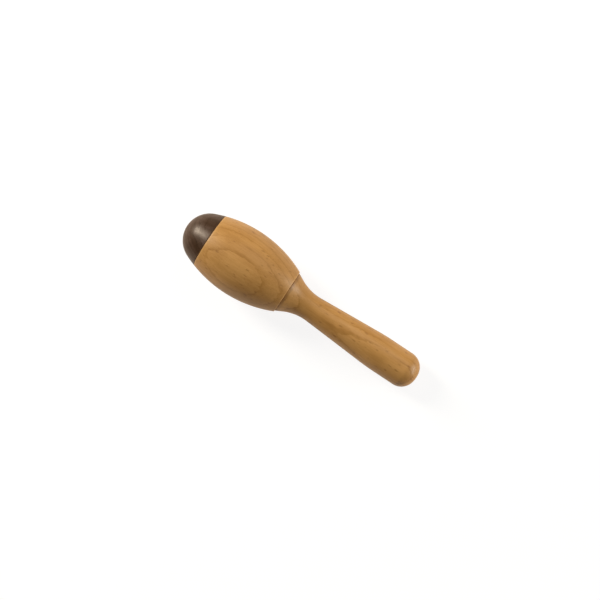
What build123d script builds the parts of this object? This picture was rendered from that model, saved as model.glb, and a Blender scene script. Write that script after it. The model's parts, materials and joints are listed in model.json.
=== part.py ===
from build123d import *

from math import asin, atan2, cos, hypot, sin, sqrt
import os

# Egg shaker on a handle: a hollow egg-shaped head of turned beech, closed by a dark turned cap, on a
# turned handle, with loose steel balls in the head.
#
# Millimetres. The shaker lies on its side as it rests on a table: z = 0 is the table, the cap points
# to -X and the butt of the handle to +X. The wooden pieces are turned about one axis. Their outlines
# are drawn on the turning plane, where x is the station, measured along that axis from the tip of the
# cap, and y is the radius.

# Outside of the head
head_length = 80.5  # tip of the cap to the seam with the handle
cap_length = 18.3  # tip of the cap to its seam with the head
head_diameter = 47.7
widest_station = 44.6
nose_radius = 18.4
rim_diameter = 31.6  # of the head, at its seam with the handle
cap_easing = 0.3  # both edges of the seam between the cap and the head
rim_easing = 0.7

# Outside of the handle
overall_length = 185.0
shoulder_diameter = 30.2
shoulder_easing = 0.3
waist_from_seam = 12.9  # the waist is where the flare and the taper would meet in a corner
waist_diameter = 17.1
waist_round = 32.0
grip_diameter = 24.8
grip_length = 32.4  # the parallel grip and the rounded butt together
taper_round = 150.0
butt_round = 10.8

# Chamber, and the two glued joints
wall = 5.0
floor_round = 4.0
undercut_round = 1.2
spigot_diameter = 29.0
spigot_length = 6.0
tenon_diameter = 16.0
tenon_length = 8.0  # the tenon ends flush with the chamber's floor
entry_chamfer = 0.8  # on the ends of the spigot and the tenon
glue_gap = 0.05

# Loose balls, lying in rows along the chamber
ball_diameter = 4.0
balls_in_row = (5, 6, 7, 6, 5)
ball_spacing = 0.3
ball_gap = 0.1  # between a ball and the chamber's wall

# Radii and stations that follow
head_radius = head_diameter / 2
rim_radius = rim_diameter / 2
shoulder_radius = shoulder_diameter / 2
waist_radius = waist_diameter / 2
grip_radius = grip_diameter / 2
spigot_radius = spigot_diameter / 2
tenon_radius = tenon_diameter / 2
ball_radius = ball_diameter / 2
spigot_end = cap_length + spigot_length
chamber_floor = head_length - tenon_length
waist_station = head_length + waist_from_seam
grip_station = overall_length - grip_length
butt_centre = (overall_length - butt_round, grip_radius - butt_round)

# The side of the egg is two arcs that share a level tangent at the widest station. The front one
# touches the nose, a sphere about a point on the axis, and the back one runs to the rim.
nose_run = widest_station - nose_radius
front_radius = (nose_run**2 + head_radius**2 - nose_radius**2) / (2 * (head_radius - nose_radius))
nose_share = nose_radius / (front_radius - nose_radius)
nose_end = (nose_radius - nose_run * nose_share, (front_radius - head_radius) * nose_share)
rim_drop = head_radius - rim_radius
back_radius = ((head_length - widest_station) ** 2 + rim_drop**2) / (2 * rim_drop)


def inside_radius(station, depth):
    """Radius, at a station past the nose, of the surface a depth inside the head's outside."""
    side_radius = front_radius if station < widest_station else back_radius
    reach = sqrt((side_radius - depth) ** 2 - (station - widest_station) ** 2)
    return head_radius - side_radius + reach


# The lie: the table is the one plane that touches both the egg's side and the round of the butt
centre_run = butt_centre[0] - widest_station
centre_rise = butt_centre[1] + back_radius - head_radius
lie = asin((back_radius - butt_round) / hypot(centre_run, centre_rise)) - atan2(centre_rise, centre_run)
cap_reach = nose_radius * cos(lie) - nose_radius
butt_reach = butt_centre[0] * cos(lie) + butt_centre[1] * sin(lie) + butt_round
turning_plane = Plane(
    origin=(
        -(cap_reach + butt_reach) / 2,
        0,
        back_radius + widest_station * sin(lie) - (back_radius - head_radius) * cos(lie),
    ),
    x_dir=(cos(lie), 0, -sin(lie)),
    z_dir=(0, -1, 0),
)
turning_axis = Axis(turning_plane.origin, turning_plane.x_dir)

os.makedirs("parts", exist_ok=True)

# Half outline of the whole egg, before it is parted at the cap
with BuildSketch() as egg:
    with BuildLine():
        RadiusArc((0, 0), nose_end, nose_radius)
        RadiusArc(nose_end, (widest_station, head_radius), front_radius)
        RadiusArc((widest_station, head_radius), (head_length, rim_radius), back_radius)
        Polyline((head_length, rim_radius), (head_length, 0), (0, 0))
    make_face()

# Half outline of the hollow that is turned out of the head
with BuildSketch() as chamber:
    with BuildLine():
        mouth_corner = (spigot_end, inside_radius(spigot_end, wall))
        floor_corner = (chamber_floor, inside_radius(chamber_floor, wall))
        widest_point = (widest_station, head_radius - wall)
        RadiusArc(mouth_corner, widest_point, front_radius - wall)
        RadiusArc(widest_point, floor_corner, back_radius - wall)
        Polyline(floor_corner, (chamber_floor, 0), (spigot_end, 0), mouth_corner)
    make_face()
    floor_ledge = floor_corner[1] - tenon_radius - glue_gap
    fillet(chamber.vertices().sort_by_distance(mouth_corner)[0], undercut_round)
    fillet(chamber.vertices().sort_by_distance(floor_corner)[0], min(floor_round, floor_ledge))

# End cap: the tip of the egg, on a spigot that is glued into the head
with BuildPart() as end_cap:
    with BuildSketch(turning_plane) as cap_outline:
        add(egg.sketch)
        Rectangle(cap_length, head_diameter, align=(Align.MIN, Align.MIN), mode=Mode.INTERSECT)
        fillet(cap_outline.vertices().sort_by(Axis.Y)[-1], cap_easing)
        with Locations((cap_length, 0)):
            Rectangle(spigot_length, spigot_radius, align=(Align.MIN, Align.MIN))
        chamfer(cap_outline.vertices().sort_by_distance((spigot_end, spigot_radius))[0], entry_chamfer)
    revolve(axis=turning_axis)
end_cap.part.label = "end_cap"
export_step(end_cap.part, "parts/end_cap.step")

# Head shell: the rest of the egg, bored for the spigot at the front and for the tenon at the back
with BuildPart() as head_shell:
    with BuildSketch(turning_plane) as shell_outline:
        add(egg.sketch)
        Rectangle(cap_length, head_diameter, align=(Align.MIN, Align.MIN), mode=Mode.SUBTRACT)
        for rim_station, easing in ((cap_length, cap_easing), (head_length, rim_easing)):
            rim_corner = (rim_station, head_radius)
            fillet(shell_outline.vertices().sort_by_distance(rim_corner)[0], easing)
        with Locations((cap_length, 0)):
            Rectangle(
                spigot_length, spigot_radius + glue_gap, align=(Align.MIN, Align.MIN), mode=Mode.SUBTRACT
            )
        add(chamber.sketch, mode=Mode.SUBTRACT)
        with Locations((chamber_floor, 0)):
            Rectangle(
                tenon_length, tenon_radius + glue_gap, align=(Align.MIN, Align.MIN), mode=Mode.SUBTRACT
            )
    revolve(axis=turning_axis)
head_shell.part.label = "head_shell"
export_step(head_shell.part, "parts/head_shell.step")

# Handle: tenon, shoulder, waist, long taper, parallel grip and rounded butt
with BuildPart() as handle:
    with BuildSketch(turning_plane) as handle_outline:
        with BuildLine():
            FilletPolyline(
                (head_length, shoulder_radius),
                (waist_station, waist_radius),
                (grip_station, grip_radius),
                (overall_length, grip_radius),
                (overall_length, 0),
                radius=(waist_round, taper_round, butt_round),
            )
            Polyline(
                (overall_length, 0),
                (chamber_floor, 0),
                (chamber_floor, tenon_radius),
                (head_length, tenon_radius),
                (head_length, shoulder_radius),
            )
        make_face()
        fillet(
            handle_outline.vertices().sort_by_distance((head_length, shoulder_radius))[0], shoulder_easing
        )
        chamfer(
            handle_outline.vertices().sort_by_distance((chamber_floor, tenon_radius))[0], entry_chamfer
        )
    revolve(axis=turning_axis)
handle.part.label = "handle"
export_step(handle.part, "parts/handle.step")

# Balls: one layer in the lowest part of the chamber, or against its floor where that comes first.
# Each place is a station, a distance down from the axis and a distance to the side of it.
ball_pitch = ball_diameter + ball_spacing
row_step = ball_pitch * sqrt(3) / 2
longest_half_row = (max(balls_in_row) - 1) * ball_pitch / 2
pool_station = min(
    widest_station + (back_radius - wall) * sin(lie),
    chamber_floor - max(floor_round, ball_radius + ball_gap) - longest_half_row,
)
ball_places = []
for row, ball_count in enumerate(balls_in_row):
    side = (row - (len(balls_in_row) - 1) / 2) * row_step
    for ball_index in range(ball_count):
        station = pool_station + (ball_index - (ball_count - 1) / 2) * ball_pitch
        track_radius = inside_radius(station, wall + ball_gap + ball_radius)
        ball_places.append((station, sqrt(track_radius**2 - side**2), side))

for number, (station, down, side) in enumerate(ball_places, start=1):
    with BuildPart() as ball:
        with Locations(turning_plane.from_local_coords(Vector(station, -down, side))):
            Sphere(ball_radius)
    ball.part.label = f"ball_{number:02d}"
    export_step(ball.part, f"parts/{ball.part.label}.step")
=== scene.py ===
import json
from math import cos, pi, radians, sin

import bpy
import numpy as np
from mathutils import Matrix, Vector


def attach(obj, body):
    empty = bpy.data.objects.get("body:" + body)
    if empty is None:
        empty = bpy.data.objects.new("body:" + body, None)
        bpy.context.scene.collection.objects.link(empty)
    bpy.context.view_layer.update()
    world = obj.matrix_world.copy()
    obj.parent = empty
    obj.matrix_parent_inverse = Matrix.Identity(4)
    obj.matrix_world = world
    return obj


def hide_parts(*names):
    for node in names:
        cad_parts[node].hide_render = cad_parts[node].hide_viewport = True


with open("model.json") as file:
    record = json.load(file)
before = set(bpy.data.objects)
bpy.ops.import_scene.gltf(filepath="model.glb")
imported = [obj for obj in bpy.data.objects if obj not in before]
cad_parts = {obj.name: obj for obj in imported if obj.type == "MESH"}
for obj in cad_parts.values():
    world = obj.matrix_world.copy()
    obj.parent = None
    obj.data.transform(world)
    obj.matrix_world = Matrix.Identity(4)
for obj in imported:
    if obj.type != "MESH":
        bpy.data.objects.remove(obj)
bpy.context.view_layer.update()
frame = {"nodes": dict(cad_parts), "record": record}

MM = 0.001

# ------------------------------------------------------------------ the turning axis and its stations
# The wooden pieces are turned about one axis. A station is the distance along it from the tip of the
# cap, a height is the distance above it, and across is the distance to the side of it.

grip_mount = next(m for m in frame["record"]["mounts"] if m["name"] == "grip_end")
axis = Vector(grip_mount["axis"]).normalized()
across = Vector((0, 1, 0))
up = axis.cross(across)


def turned(node):
    """Stations, from the mount's point, and radii of the corners of a CAD node's mesh."""
    mesh = frame["nodes"][node].data
    places = np.empty(len(mesh.vertices) * 3, np.float32)
    mesh.vertices.foreach_get("co", places)
    from_mount = places.reshape(-1, 3).astype(float) - np.array(grip_mount["pos_m"])
    stations = from_mount @ np.array(axis)
    radii = np.linalg.norm(from_mount - np.outer(stations, np.array(axis)), axis=1)
    return stations, radii


cap_stations, cap_radii = turned("end_cap")
shell_stations, shell_radii = turned("head_shell")
handle_stations, handle_radii = turned("handle")
tip = cap_stations.min()
tip_point = Vector(grip_mount["pos_m"]) + axis * tip
for stations in (cap_stations, shell_stations, handle_stations):
    stations -= tip

cap_seam, rim = shell_stations.min(), shell_stations.max()
spigot_end = cap_stations.max()
chamber_floor, butt = handle_stations.min(), handle_stations.max()


def least_radius(stations, radii, station):
    """The smallest radius that a piece has at a station."""
    return radii[np.abs(stations - station) < 0.01 * MM].min()


spigot_radius = least_radius(cap_stations, cap_radii, cap_seam)
seat_radius = least_radius(shell_stations, shell_radii, cap_seam)
socket_radius = least_radius(shell_stations, shell_radii, rim)
tenon_radius = least_radius(handle_stations, handle_radii, rim)
grip_radius = grip_mount["dims"]["r_mm"] * MM

# The egg: a nose sphere about a point on the axis, then two arcs that are level at the widest station
head_radius = shell_radii.max()
widest = shell_stations[shell_radii.argmax()]
wall = head_radius - least_radius(shell_stations, shell_radii, widest)


def arc_through(runs, drops):
    """Radius of the arc that starts level and has fallen by each drop after each run."""
    return float(np.median((runs**2 + drops**2) / (2 * drops)))


on_nose = (cap_stations > 1 * MM) & (cap_stations < 5 * MM)
nose_radius = arc_through(cap_radii[on_nose], cap_stations[on_nose])
runs, drops = shell_stations - widest, head_radius - shell_radii
outside = drops < wall / 2
front, back = outside & (runs < -5 * MM), outside & (runs > 5 * MM) & (runs < 25 * MM)
front_radius = arc_through(runs[front], drops[front])
back_radius = arc_through(runs[back], drops[back])
nose_share = nose_radius / (front_radius - nose_radius)
nose_end = nose_radius - (widest - nose_radius) * nose_share

# Sizes that can't be read from the frame's meshes, as the model has them
cap_easing, rim_easing, shoulder_easing = 0.3 * MM, 0.7 * MM, 0.3 * MM
undercut_round, floor_round, entry_chamfer = 1.2 * MM, 4.0 * MM, 0.8 * MM
shoulder_radius = 15.1 * MM
waist, waist_radius, waist_round = rim + 12.9 * MM, 8.55 * MM, 32.0 * MM
grip, taper_round = butt - 32.4 * MM, 150.0 * MM
butt_round = 10.8 * MM

# ------------------------------------------------------------------------------------------- outlines
# An outline is an array of (station, radius) rows.

STEP = 0.9 * MM  # between the points of an outline
TURN_POINTS = 9  # on a small round; a large one has a point a step


def egg(stations, depth=0.0):
    """Radii of the surface a depth inside the egg: the height of the nose or side arc at each station."""
    s = np.asarray(stations, float)
    nose = np.sqrt(np.maximum((nose_radius - depth) ** 2 - (s - nose_radius) ** 2, 0))
    arc = np.where(s < widest, front_radius, back_radius)
    body = head_radius - arc + np.sqrt((arc - depth) ** 2 - (s - widest) ** 2)
    return np.where(s < nose_end, nose, body)


def egg_side(start, end, depth=0.0):
    """Rows along the egg from one station to another, a step apart."""
    count = max(3, int(abs(end - start) / STEP) + 1)
    s = np.linspace(start, end, count)
    return np.column_stack((s, egg(s, depth)))


def rounded(*corners):
    """Straight runs between (corner, round) pairs, with an arc of that round touching both runs.

    The arc's points are its centre plus its two end radii, mixed by the sines of the angles to each.
    """
    points = [np.array(point, float) for point, _ in corners]
    rounds = [radius for _, radius in corners]
    rows = [points[0]]
    for before, corner, after, radius in zip(points, points[1:], points[2:], rounds[1:]):
        if radius == 0:
            rows.append(corner)
            continue
        back_way = (before - corner) / np.linalg.norm(before - corner)
        on_way = (after - corner) / np.linalg.norm(after - corner)
        half = np.arccos(np.clip(back_way @ on_way, -1, 1)) / 2
        middle = (back_way + on_way) / np.linalg.norm(back_way + on_way)
        centre = corner + middle * radius / sin(half)
        first = corner + back_way * radius / np.tan(half) - centre
        last = corner + on_way * radius / np.tan(half) - centre
        turn = pi - 2 * half
        count = max(TURN_POINTS, int(turn * radius / STEP) + 1)
        share = np.linspace(0, 1, count)[:, None]
        rows.extend(centre + (first * np.sin((1 - share) * turn) + last * np.sin(share * turn)) / sin(turn))
    rows.append(points[-1])
    return np.array(rows)


def stepped(rows):
    """The same outline with points added along its long runs, no more than a step apart."""
    filled = [rows[:1]]
    for start, end in zip(rows[:-1], rows[1:]):
        count = max(1, int(np.ceil(np.linalg.norm(end - start) / STEP)))
        filled.append(start + (end - start) * np.linspace(0, 1, count + 1)[1:, None])
    return np.concatenate(filled)


def cap_outline():
    """From the tip over the dome to the seam, then round the spigot to the axis."""
    nose_turn = np.arccos(1 - nose_end / nose_radius)
    angles = np.linspace(0, nose_turn, int(nose_turn * nose_radius / STEP) + 1)[:-1]
    nose = np.column_stack((nose_radius * (1 - np.cos(angles)), nose_radius * np.sin(angles)))
    side = egg_side(nose_end, cap_seam)
    spigot = rounded(
        (side[-2], 0),
        (side[-1], cap_easing),
        ((cap_seam, spigot_radius), 0),
        ((spigot_end - entry_chamfer, spigot_radius), 0),
        ((spigot_end, spigot_radius - entry_chamfer), 0),
        ((spigot_end, 0), 0),
    )
    return stepped(np.concatenate((nose, side[:-2], spigot)))


def shell_outline():
    """A closed ring: the outside from seam to seam, the socket, the chamber and the spigot's seat."""
    outer = egg_side(cap_seam, rim)
    inner = egg_side(chamber_floor - floor_round, spigot_end + undercut_round, wall)
    seam_face = ((cap_seam, (seat_radius + outer[0, 1]) / 2), 0)
    start = rounded(seam_face, (outer[0], cap_easing), (outer[1], 0))
    floor = rounded(
        (outer[-2], 0),
        (outer[-1], rim_easing),
        ((rim, socket_radius), 0),
        ((chamber_floor, socket_radius), 0),
        ((chamber_floor, egg([chamber_floor], wall)[0]), floor_round),
        (inner[0], 0),
    )
    seat = rounded(
        (inner[-1], 0),
        ((spigot_end, egg([spigot_end], wall)[0]), undercut_round / 2),
        ((spigot_end, seat_radius), 0),
        ((cap_seam, seat_radius), 0),
        seam_face,
    )
    return stepped(np.concatenate((start[:-1], outer[1:-2], floor[:-1], inner[:-1], seat)))[:-1]


def handle_outline():
    """From the tenon's end round the shoulder, the waist and the grip to the middle of the butt."""
    return stepped(
        rounded(
            ((chamber_floor, 0), 0),
            ((chamber_floor, tenon_radius - entry_chamfer), 0),
            ((chamber_floor + entry_chamfer, tenon_radius), 0),
            ((rim, tenon_radius), 0),
            ((rim, shoulder_radius), shoulder_easing),
            ((waist, waist_radius), waist_round),
            ((grip, grip_radius), taper_round),
            ((butt, grip_radius), butt_round),
            ((butt, 0), 0),
        )
    )


# --------------------------------------------------------------------------------------------- meshes

AROUND = 192  # faces round the axis


def turned_piece(name, outline, ring, node):
    """A surface of two parameters: the place along the outline and the angle round the axis.

    A point is the tip, plus its station along the axis, plus its radius times the cosine of the angle
    upwards and the sine of it across. A ring's outline closes on itself; any other outline starts and
    ends on the axis, in one point each.
    """
    angles = np.linspace(0, 2 * pi, AROUND, endpoint=False)
    spokes = np.outer(np.cos(angles), np.array(up)) + np.outer(np.sin(angles), np.array(across))
    rows = outline if ring else outline[1:-1]
    centres = np.array(tip_point) + np.outer(rows[:, 0], np.array(axis))
    points = (centres[:, None, :] + rows[:, 1, None, None] * spokes[None, :, :]).reshape(-1, 3)

    along = np.arange(len(rows) if ring else len(rows) - 1)[:, None]
    around = np.arange(AROUND)[None, :]
    next_along, next_around = (along + 1) % len(rows), (around + 1) % AROUND
    quads = np.stack(
        (
            along * AROUND + around,
            next_along * AROUND + around,
            next_along * AROUND + next_around,
            along * AROUND + next_around,
        ),
        axis=-1,
    ).reshape(-1, 4)
    faces = quads.tolist()
    if not ring:
        poles = np.array(tip_point) + np.outer(outline[[0, -1], 0], np.array(axis))
        first, last = len(points), len(points) + 1
        points = np.concatenate((points, poles))
        ring_start = np.arange(AROUND)
        ring_next = (ring_start + 1) % AROUND
        last_ring = (len(rows) - 1) * AROUND
        faces += np.column_stack((np.full(AROUND, first), ring_start, ring_next)).tolist()
        faces += np.column_stack(
            (np.full(AROUND, last), last_ring + ring_next, last_ring + ring_start)
        ).tolist()
    mesh = bpy.data.meshes.new(name)
    mesh.from_pydata(points.tolist(), [], faces)
    mesh.shade_smooth()
    mesh.set_sharp_from_angle(angle=radians(40))
    piece = bpy.data.objects.new(name, mesh)
    bpy.context.scene.collection.objects.link(piece)
    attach(piece, "shaker")
    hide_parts(node)
    return piece


cap = turned_piece("turned_cap", cap_outline(), False, "end_cap")
head = turned_piece("turned_head", shell_outline(), True, "head_shell")
handle = turned_piece("turned_handle", handle_outline(), False, "handle")
balls = [frame["nodes"][name] for name in sorted(frame["nodes"]) if name.startswith("ball_")]

# -------------------------------------------------------------------------------------- shader helpers


class Nodes:
    """Adds nodes to a tree. An input is given a constant, or the output of another node."""

    def __init__(self, tree):
        self.tree = tree

    def node(self, kind, inputs, **settings):
        node = self.tree.nodes.new("ShaderNode" + kind)
        for name, value in settings.items():
            setattr(node, name, value)
        for key, value in inputs.items():
            if isinstance(value, bpy.types.NodeSocket):
                self.tree.links.new(value, node.inputs[key])
            else:
                node.inputs[key].default_value = value
        return node

    def add(self, kind, inputs, output=0, **settings):
        """A node's one useful output, or the node itself if it has none."""
        node = self.node(kind, inputs, **settings)
        return node.outputs[output] if node.outputs else node

    def math(self, operation, *values):
        return self.add("Math", dict(enumerate(values)), operation=operation)

    def vector(self, operation, *values):
        return self.add("VectorMath", dict(enumerate(values)), operation=operation)

    def split(self, vector):
        return self.node("SeparateXYZ", {0: vector}).outputs

    def noise(self, position, stretch, detail=2.0, roughness=0.5):
        """Noise from 0 to 1. Each stretch is how many of its grains there are in a unit of length."""
        scaled = self.vector("MULTIPLY", position, stretch)
        inputs = {"Vector": scaled, "Scale": 1.0, "Detail": detail, "Roughness": roughness}
        return self.add("TexNoise", inputs)

    def cells(self, position):
        """A cell pattern: how far the nearest cell's middle is, and a random colour for that cell."""
        return self.node("TexVoronoi", {"Vector": position, "Scale": 1.0}).outputs

    def between(self, value, low, high, to_low=0.0, to_high=1.0):
        """A smooth step of the value from low to high."""
        inputs = {"Value": value, 1: low, 2: high, 3: to_low, 4: to_high}
        return self.add("MapRange", inputs, interpolation_type="SMOOTHSTEP")

    def mix(self, share, first, second, blend="MIX"):
        inputs = {0: share, 6: first, 7: second}
        return self.add("Mix", inputs, 2, data_type="RGBA", blend_type=blend)

    def darken(self, colour, value, low, high, to_low, to_high):
        """The colour times a smooth step of the value. Blue falls most and red least, as in wood."""
        scale = self.between(value, low, high, to_low, to_high)
        parts = (scale, self.math("POWER", scale, 1.3), self.math("POWER", scale, 2.1))
        tint = self.add("CombineColor", dict(enumerate(parts)))
        return self.mix(1.0, colour, tint, "MULTIPLY")

    def curve(self, value, *stops):
        """Straight lines between (place, value) stops."""
        node = self.node("FloatCurve", {"Value": value})
        points = node.mapping.curves[0].points
        points[0].location, points[1].location = stops[0], stops[-1]
        for stop in stops[1:-1]:
            points.new(*stop)
        for point in points:
            point.handle_type = "VECTOR"
        node.mapping.update()
        return node.outputs[0]


def group(name, inputs, outputs):
    """A new node group with named sockets. Returns it, its nodes and its inputs by name."""
    tree = bpy.data.node_groups.new(name, "ShaderNodeTree")
    for label, default in inputs.items():
        kind = "NodeSocketVector" if isinstance(default, tuple) else "NodeSocketFloat"
        socket = tree.interface.new_socket(label, in_out="INPUT", socket_type=kind)
        socket.default_value = default
    for label in outputs:
        tree.interface.new_socket(label, in_out="OUTPUT", socket_type="NodeSocketFloat")
    entry = tree.nodes.new("NodeGroupInput")
    return tree, Nodes(tree), entry.outputs


def give(nodes, results):
    """Joins a group's results to its output sockets."""
    leave = nodes.tree.nodes.new("NodeGroupOutput")
    for label, value in results.items():
        nodes.tree.links.new(value, leave.inputs[label])


def use(nodes, tree, inputs):
    """Places a group in a material and returns its outputs by name."""
    return nodes.node("Group", inputs, node_tree=tree).outputs


# --------------------------------------------------------------------------------------- wood effects
# In the wood's own space x runs along the grain, z towards the bark and y across both, in millimetres.

# How dark a growth layer is, as (share of its thickness, darkness): it is pale for most of its
# thickness and dark just before the next layer starts.
LATE_WOOD_STOPS = (
    (0.0, 0.5),
    (0.04, 0.1),
    (0.3, 0.0),
    (0.6, 0.14),
    (0.85, 0.42),
    (0.95, 1.0),
    (1.0, 0.9),
)


def growth_layers():
    """Growth layers are tubes about the pith: the distance from it, swayed by slow noise, is counted in
    layer thicknesses. Late wood darkens towards the end of each layer and stops short there, and a
    broad noise makes it fainter in places."""
    tree, n, given = group(
        "growth layers",
        {"Position": (0.0, 0.0, 0.0), "Thickness": 4.0, "First": 0.0, "Pith": 150.0, "Sway": 1.0},
        ("Late wood", "Tone"),
    )
    position, thickness = given["Position"], given["Thickness"]
    _, y, z = n.split(position)
    from_pith = n.math("ADD", z, given["Pith"])
    squares = n.math("ADD", n.math("MULTIPLY", y, y), n.math("MULTIPLY", from_pith, from_pith))
    depth = n.math("SUBTRACT", n.math("SQRT", squares), given["Pith"])
    slow = n.noise(position, (0.022, 0.08, 0.08), 2.0)
    quick = n.noise(position, (0.11, 0.4, 0.4), 3.0, 0.65)
    sway = n.math("ADD", n.between(slow, 0.0, 1.0, -0.9, 0.9), n.between(quick, 0.0, 1.0, -0.8, 0.8))
    swayed = n.math("MULTIPLY_ADD", sway, given["Sway"], depth)
    count = n.math("DIVIDE", n.math("SUBTRACT", swayed, given["First"]), thickness)
    share = n.math("FRACT", count)
    late = n.curve(share, *LATE_WOOD_STOPS)
    faint = n.between(n.noise(position, (0.05, 0.22, 0.22), 2.0), 0.36, 0.6, 0.45, 1.0)
    late = n.math("MULTIPLY", late, faint)
    tone = n.add("TexWhiteNoise", {"W": n.math("FLOOR", count)}, noise_dimensions="1D")
    give(n, {"Late wood": late, "Tone": tone})
    return tree


def wood_fibre():
    """Streaks are noise drawn out along the grain, finer and broader. Rays are thin cells, long towards
    the bark and short along the grain, so that they cut the surface in short dashes. Flecks are a few
    larger dashes, bent by noise. Pores are finer and shorter lines. Mottle is a cloudy noise, a few
    centimetres long."""
    outputs = ("Streaks", "Rays", "Flecks", "Pores", "Mottle")
    tree, n, given = group("wood fibre", {"Position": (0.0, 0.0, 0.0)}, outputs)
    position = given["Position"]
    fine = n.noise(position, (0.05, 2.2, 2.2), 4.0, 0.6)
    broad = n.noise(position, (0.017, 0.33, 0.33), 3.0, 0.55)
    streaks = n.math("MULTIPLY_ADD", fine, 0.5, n.math("MULTIPLY", broad, 0.5))
    ray_cells = n.cells(n.vector("MULTIPLY", position, (0.42, 1.9, 0.16)))
    ray_reach = n.between(n.split(ray_cells["Color"])[0], 0.25, 1.0, 0.06, 0.32)
    rays = n.between(n.math("DIVIDE", ray_cells["Distance"], ray_reach), 1.0, 0.4)
    bend = n.noise(position, (0.3, 0.5, 0.5), 2.0)
    bent = n.vector("MULTIPLY_ADD", bend, (0.0, 2.4, 2.4), position)
    fleck_cells = n.cells(n.vector("MULTIPLY", bent, (0.17, 0.6, 0.3)))
    fleck_reach = n.between(n.split(fleck_cells["Color"])[0], 0.15, 1.0, 0.04, 0.42)
    flecks = n.between(n.math("DIVIDE", fleck_cells["Distance"], fleck_reach), 1.0, 0.3)
    pores = n.between(n.noise(position, (0.45, 6.5, 6.5), 2.0, 0.5), 0.58, 0.74)
    mottle = n.noise(position, (0.045, 0.1, 0.1), 3.0, 0.6)
    give(n, {"Streaks": streaks, "Rays": rays, "Flecks": flecks, "Pores": pores, "Mottle": mottle})
    return tree


def sanding_rings():
    """Faint rings round the axis: a noise that changes fast with the station and slowly across it."""
    tree, n, given = group("sanding rings", {"Position": (0.0, 0.0, 0.0)}, ("Height",))
    give(n, {"Height": n.noise(given["Position"], (2.6, 0.03, 0.03), 3.0, 0.7)})
    return tree


def seam_marks():
    """Two bands beside a seam, each partly painted light: a dark one in the joint itself, painted shade with
    the glue line and some dirt, and next to it a pale one on the eased edge, a painted highlight with some
    wear from hands. Each falls smoothly to nothing, and noise makes both come and go round the seam."""
    given = {"Position": (0.0, 0.0, 0.0), "Seam": 0.0, "Shade and dirt width": 0.4, "Highlight and wear width": 1.2}
    tree, n, given = group("seam marks", given, ("Shade and dirt", "Highlight and wear"))
    position = given["Position"]
    away = n.math("ABSOLUTE", n.math("SUBTRACT", n.split(position)[0], given["Seam"]))
    patchy = n.between(n.noise(position, (0.3, 0.22, 0.22), 3.0, 0.6), 0.3, 0.62, 0.35, 1.0)
    shade_and_dirt = n.between(n.math("DIVIDE", away, given["Shade and dirt width"]), 1.0, 0.2)
    highlight_and_wear = n.between(n.math("DIVIDE", away, given["Highlight and wear width"]), 1.0, 0.3)
    give(n, {"Shade and dirt": n.math("MULTIPLY", shade_and_dirt, patchy), "Highlight and wear": n.math("MULTIPLY", highlight_and_wear, patchy)})
    return tree


def handling():
    """Where a hand rubs the lacquer smooth: a cloudy mask that rises from a station to its full depth a
    reach farther on."""
    given = {"Position": (0.0, 0.0, 0.0), "Start": 0.0, "Reach": 30.0}
    tree, n, given = group("handling", given, ("Rubbed",))
    position = given["Position"]
    rise = n.math("DIVIDE", n.math("SUBTRACT", n.split(position)[0], given["Start"]), given["Reach"])
    cloud = n.between(n.noise(position, (0.07, 0.12, 0.12), 4.0, 0.6), 0.35, 0.65, 0.3, 1.0)
    give(n, {"Rubbed": n.math("MULTIPLY", n.between(rise, 0.0, 1.0), cloud)})
    return tree


SEAM_SIZES = ("Seam", "Shade and dirt width", "Highlight and wear width")  # a seam's station and the widths of its two bands
RUBBED_REACH = 45.0  # millimetres over which handling comes to its full depth
RUBBED_SMOOTHER = -0.07  # change of roughness where hands have rubbed most
GRAIN_RELIEF, SCUFF_RELIEF = 0.03 * MM, 0.02 * MM
LAYERS, FIBRE, RINGS = growth_layers(), wood_fibre(), sanding_rings()
SEAM, HANDLING = seam_marks(), handling()


def wood_space(n, bark_turn):
    """Object coordinates turned into the wood's own space: x along the turning axis from the tip, and z
    towards the bark, which is turned about the axis from upwards towards the side."""
    level = Matrix((axis, across, up))
    rolled = Matrix.Rotation(bark_turn, 3, "X") @ level
    inputs = {
        "Vector": n.add("TexCoord", {}, "Object"),
        "Scale": (1 / MM, 1 / MM, 1 / MM),
        "Rotation": rolled.to_euler("XYZ"),
        "Location": rolled @ tip_point / MM * -1,
    }
    return n.add("Mapping", inputs, vector_type="POINT")


def new_material(name):
    """An empty node material, and its nodes."""
    material = bpy.data.materials.new(name)
    material.use_nodes = True
    material.node_tree.nodes.clear()
    return material, Nodes(material.node_tree)


def finish(n, inputs):
    """A Principled shader with these inputs, joined to the material's output."""
    shader = n.add("BsdfPrincipled", inputs)
    n.add("OutputMaterial", {"Surface": shader})


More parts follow.
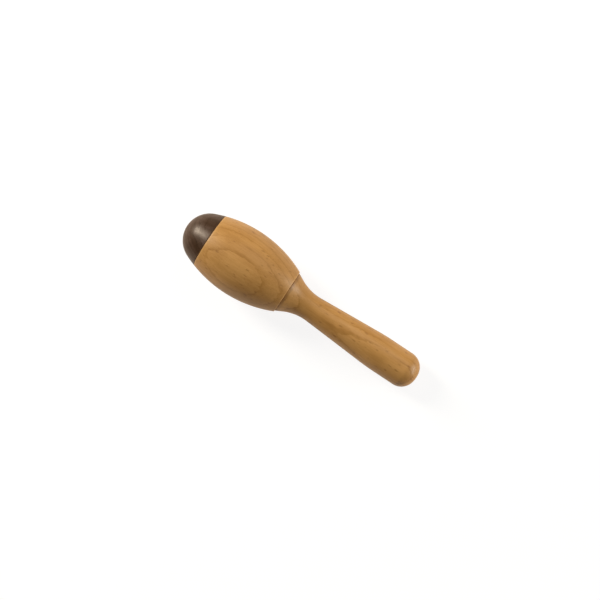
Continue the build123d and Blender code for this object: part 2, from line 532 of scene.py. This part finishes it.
def lacquered_wood(name, look):
    """Turned wood under a satin lacquer. The look gives its colours, how strongly each effect shows, and
    where its layers, seams and rubbed part lie."""
    material, n = new_material(name)
    position = wood_space(n, look["bark_turn"])
    grain = n.vector("ADD", position, look["board"])
    layers = use(
        n,
        LAYERS,
        {
            "Position": position,
            "Thickness": look["layer_thickness"],
            "First": look["first_layer"],
            "Pith": look["pith"],
            "Sway": look["sway"],
        },
    )
    fibre = use(n, FIBRE, {"Position": grain})
    rings = use(n, RINGS, {"Position": position})
    handled = use(n, HANDLING, {"Position": position, "Start": look["rubbed_from"], "Reach": RUBBED_REACH})

    colour = n.darken(look["body"], layers["Late wood"], 0.0, 1.0, 1.0, look["late_wood"])
    colour = n.darken(colour, fibre["Streaks"], 0.34, 0.66, *look["streak_range"])
    colour = n.darken(colour, fibre["Mottle"], 0.3, 0.7, *look["mottle_range"])
    colour = n.darken(colour, layers["Tone"], 0.0, 1.0, *look["tone_range"])
    colour = n.mix(n.math("MULTIPLY", fibre["Rays"], look["ray_share"]), colour, look["ray"])
    colour = n.mix(n.math("MULTIPLY", fibre["Flecks"], look["fleck_share"]), colour, look["ray"])
    colour = n.mix(n.math("MULTIPLY", fibre["Pores"], look["pore_share"]), colour, look["pore"])
    for seam in look["seams"]:
        marks = use(n, SEAM, {"Position": position} | {key: seam[key] for key in SEAM_SIZES})
        # A pale band: a painted highlight where the light catches the eased edge, with some wear.
        colour = n.mix(n.math("MULTIPLY", marks["Highlight and wear"], seam["highlight_and_wear_share"]), colour, look["highlight_and_wear_colour"])
        # A dark band: painted shade in the joint, with the glue line and some dirt in it.
        colour = n.mix(n.math("MULTIPLY", marks["Shade and dirt"], seam["shade_and_dirt_share"]), colour, look["shade_and_dirt"])

    height = n.math("MULTIPLY_ADD", fibre["Streaks"], 0.5, n.math("MULTIPLY", fibre["Pores"], -0.4))
    height = n.math("MULTIPLY_ADD", rings["Height"], 0.3, height)
    height = n.math("MULTIPLY_ADD", layers["Late wood"], 0.25, height)
    bump = n.add("Bump", {"Height": height, "Strength": look["bump"], "Distance": GRAIN_RELIEF})
    rough = n.between(fibre["Streaks"], 0.3, 0.7, *look["rough_range"])
    finish(
        n,
        {
            "Base Color": colour,
            "Roughness": n.math("MULTIPLY_ADD", handled["Rubbed"], RUBBED_SMOOTHER, rough),
            "Specular IOR Level": look["specular"],
            "Specular Tint": look["gleam"],
            "Coat Weight": look["coat"],
            "Coat Roughness": look["coat_rough"],
            "Normal": bump,
        },
    )
    return material


# Wood side of the cap's joint: a dark band of painted shade with the glue line in it, and a pale band that
# is a painted highlight on the eased edge with some wear.
CAP_JOINT = {
    "Seam": cap_seam / MM,
    "Shade and dirt width": 0.4,
    "Highlight and wear width": 1.2,
    "shade_and_dirt_share": 0.55,
    "highlight_and_wear_share": 0.35,
}
# Head's rim: no dark band, and a pale band that is a painted highlight on the eased edge with some wear.
HEAD_RIM = {"Seam": rim / MM, "Shade and dirt width": 0.15, "Highlight and wear width": 1.0, "shade_and_dirt_share": 0.0, "highlight_and_wear_share": 0.3}
# Past the handle's shoulder: a broad dark band of painted shadow cast by the head's overhanging rim, with
# some dirt.
HANDLE_JOINT = {"Seam": rim / MM, "Shade and dirt width": 3.0, "Highlight and wear width": 4.0, "shade_and_dirt_share": 0.5, "highlight_and_wear_share": 0.0}
# Cap side of its joint: a dark band of painted shade with the glue line, and a faint pale band of painted
# highlight and wear.
DARK_JOINT = CAP_JOINT | {"shade_and_dirt_share": 0.8, "highlight_and_wear_share": 0.1}
BEECH = {
    "body": (0.5, 0.27, 0.084, 1),
    "ray": (0.23, 0.095, 0.025, 1),
    "pore": (0.2, 0.08, 0.022, 1),
    # Colour of the pale seam band: a painted highlight, with some wear.
    "highlight_and_wear_colour": (0.72, 0.46, 0.19, 1),
    # Colour of the dark seam band: painted shade, with glue and dirt.
    "shade_and_dirt": (0.1, 0.04, 0.014, 1),
    "gleam": (1, 0.96, 0.88, 1),
    "late_wood": 0.82,
    "ray_share": 0.3,
    "fleck_share": 0.55,
    "pore_share": 0.16,
    "streak_range": (0.91, 1.07),
    "mottle_range": (0.93, 1.06),
    "tone_range": (0.95, 1.03),
    "rough_range": (0.5, 0.4),
    "pith": 160.0,
    "sway": 1.0,
    "specular": 0.4,
    "coat": 0.2,
    "coat_rough": 0.3,
    "bump": 0.3,
}
HEAD_BEECH = BEECH | {
    "bark_turn": radians(-22.7),
    "board": (0.0, 0.0, 0.0),
    "first_layer": 21.14,
    "layer_thickness": 4.1,
    "seams": (CAP_JOINT, HEAD_RIM),
    "rubbed_from": rim / MM,
}
HANDLE_BEECH = BEECH | {
    "bark_turn": radians(-22),
    "board": (300.0, 40.0, 0.0),
    "first_layer": 10.5,
    "layer_thickness": 3.9,
    "seams": (HANDLE_JOINT,),
    "rubbed_from": waist / MM,
}
STAINED = {
    "body": (0.065, 0.036, 0.0235, 1),
    "ray": (0.09, 0.047, 0.026, 1),
    "pore": (0.01, 0.006, 0.004, 1),
    # Colour of the pale seam band: a painted highlight, with some wear.
    "highlight_and_wear_colour": (0.16, 0.085, 0.045, 1),
    # Colour of the dark seam band: painted shade, with glue and dirt.
    "shade_and_dirt": (0.012, 0.007, 0.005, 1),
    "gleam": (1, 0.92, 0.8, 1),
    "late_wood": 0.6,
    "ray_share": 0.35,
    "fleck_share": 0.0,
    "pore_share": 0.4,
    "streak_range": (0.72, 1.22),
    "mottle_range": (0.8, 1.15),
    "tone_range": (0.85, 1.1),
    "rough_range": (0.42, 0.32),
    "pith": 60.0,
    "sway": 1.0,
    "specular": 0.36,
    "coat": 0.0,
    "coat_rough": 0.25,
    "bump": 0.3,
    "bark_turn": radians(35),
    "board": (150.0, 20.0, 0.0),
    "first_layer": 0.6,
    "layer_thickness": 2.3,
    "seams": (DARK_JOINT,),
    "rubbed_from": butt / MM,
}


def ball_steel():
    """Bearing-ball steel, dulled by wood dust and fine scuffs."""
    material, n = new_material("scuffed ball steel")
    position = n.vector("MULTIPLY", n.add("TexCoord", {}, "Object"), (1 / MM, 1 / MM, 1 / MM))
    scuffs = n.noise(position, (1.5, 6.0, 1.5), 4.0, 0.65)
    dust = n.noise(position, (0.8, 0.8, 0.8), 3.0, 0.6)
    colour = n.mix(n.between(dust, 0.5, 0.75, 0.0, 0.5), (0.56, 0.56, 0.57, 1), (0.4, 0.3, 0.2, 1))
    bump = n.add("Bump", {"Height": scuffs, "Strength": 0.2, "Distance": SCUFF_RELIEF})
    finish(
        n,
        {
            "Base Color": colour,
            "Metallic": n.between(dust, 0.55, 0.8, 1.0, 0.6),
            "Roughness": n.between(scuffs, 0.35, 0.7, 0.22, 0.42),
            "Normal": bump,
        },
    )
    return material


def paint(piece, material):
    """The material in every one of the piece's slots, held by the object."""
    if not piece.material_slots:
        piece.data.materials.append(material)
    for material_slot in piece.material_slots:
        material_slot.link = "OBJECT"
        material_slot.material = material


paint(cap, lacquered_wood("stained hardwood of the cap", STAINED))
paint(head, lacquered_wood("beech of the head", HEAD_BEECH))
paint(handle, lacquered_wood("beech of the handle", HANDLE_BEECH))
steel = ball_steel()
for ball in balls:
    paint(ball, steel)

# ------------------------------------------------------------------------------------ floor and light

WARM = (1.0, 0.92, 0.81)
FLOOR_WIDTH = 12.0


def seen_or_lighting(n, seen, lighting):
    """One colour for what the camera sees straight on, and another for the light that is shed."""
    return n.mix(n.add("LightPath", {}, "Is Camera Ray"), (*lighting, 1), (*seen, 1))


def pale_floor():
    """A wide flat sheet of paper that glows a little, so that it looks white and its shadows are faint."""
    half = FLOOR_WIDTH / 2
    corners = [(-half, -half, 0), (half, -half, 0), (half, half, 0), (-half, half, 0)]
    mesh = bpy.data.meshes.new("pale_floor")
    mesh.from_pydata(corners, [], [(0, 1, 2, 3)])
    floor = bpy.data.objects.new("pale_floor", mesh)
    bpy.context.scene.collection.objects.link(floor)
    material, n = new_material("pale paper")
    fibres = n.noise(n.add("TexCoord", {}, "Object"), (40.0, 40.0, 40.0), 3.0, 0.6)
    colour = n.mix(fibres, (0.145, 0.145, 0.145, 1), (0.155, 0.155, 0.155, 1))
    glow = seen_or_lighting(n, (0.885, 0.885, 0.885), (0.72, 0.58, 0.45))
    finish(n, {"Base Color": colour, "Roughness": 0.8, "Emission Color": glow, "Emission Strength": 1.0})
    mesh.materials.append(material)


def pale_world():
    """A room that looks white to the camera and sheds next to no light of its own."""
    world = bpy.data.worlds.new("pale room")
    world.use_nodes = True
    n = Nodes(world.node_tree)
    glow = seen_or_lighting(n, (1.0, 1.0, 1.0), (0.04, 0.04, 0.04))
    world.node_tree.links.new(glow, world.node_tree.nodes["Background"].inputs["Color"])
    bpy.context.scene.world = world


def softbox(name, direction, size, power, distance=1.6):
    """A rectangular softbox, (width, height), a distance from the shaker's middle, facing it."""
    direction = Vector(direction).normalized()
    light = bpy.data.lights.new(name, "AREA")
    light.shape = "RECTANGLE"
    light.size, light.size_y = size
    light.energy = power
    light.color = WARM
    lamp = bpy.data.objects.new(name, light)
    lamp.location = middle + direction * distance
    lamp.rotation_euler = direction.to_track_quat("Z", "Y").to_euler()
    bpy.context.scene.collection.objects.link(lamp)


def place(station, height=0.0):
    """The point at a station, a height above the turning axis."""
    return tip_point + axis * station + up * height


middle = place(butt / 2)
pale_floor()
pale_world()
softbox("tall box beyond the cap", (-0.83, 0.09, 0.5), (0.42, 0.95), 33)
softbox("low box beyond the butt", (0.9, 0.42, 0.16), (1.0, 0.34), 14.5)
softbox("small box beyond the grip", (0.76, 0.51, 0.4), (0.3, 0.3), 3.5)
softbox("large box overhead", (0.1, 0.62, 0.74), (1.0, 1.0), 5)

# -------------------------------------------------------------------------------------------- camera
# The camera is above the head's end of the handle and looks down across the axis.

camera_station, camera_height = 77 * MM, 707 * MM
lens, sensor_width = 62.93, 36  # millimetres
axis_turn = radians(33.63)  # how far the axis runs down to the right in the picture
picture_shift = (1.23 * MM, 1.19 * MM)  # of the shaker's middle, right of and below the picture's


def look_down():
    """Places the camera. It looks at the middle first, which gives the picture's directions, and then
    at a point beside the middle, so that the shaker stands off the picture's centre by the shift."""
    camera_data = bpy.data.cameras.new("camera")
    camera_data.lens = lens
    camera_data.sensor_width = sensor_width
    camera = bpy.data.objects.new("camera", camera_data)
    bpy.context.scene.collection.objects.link(camera)
    eye = place(camera_station, camera_height)

    def turned_about(aim):
        towards = (aim - eye).normalized()
        along = (axis - towards * axis.dot(towards)).normalized()
        beside = (-towards).cross(along)
        right = along * cos(axis_turn) + beside * sin(axis_turn)
        return right, (-towards).cross(right), -towards

    right, above, _ = turned_about(middle)
    right, above, backwards = turned_about(middle - right * picture_shift[0] + above * picture_shift[1])
    camera.matrix_world = Matrix.Translation(eye) @ Matrix((right, above, backwards)).transposed().to_4x4()
    bpy.context.scene.camera = camera


look_down()
bpy.context.scene.view_settings.view_transform = "Standard"
bpy.context.scene.view_settings.look = "None"
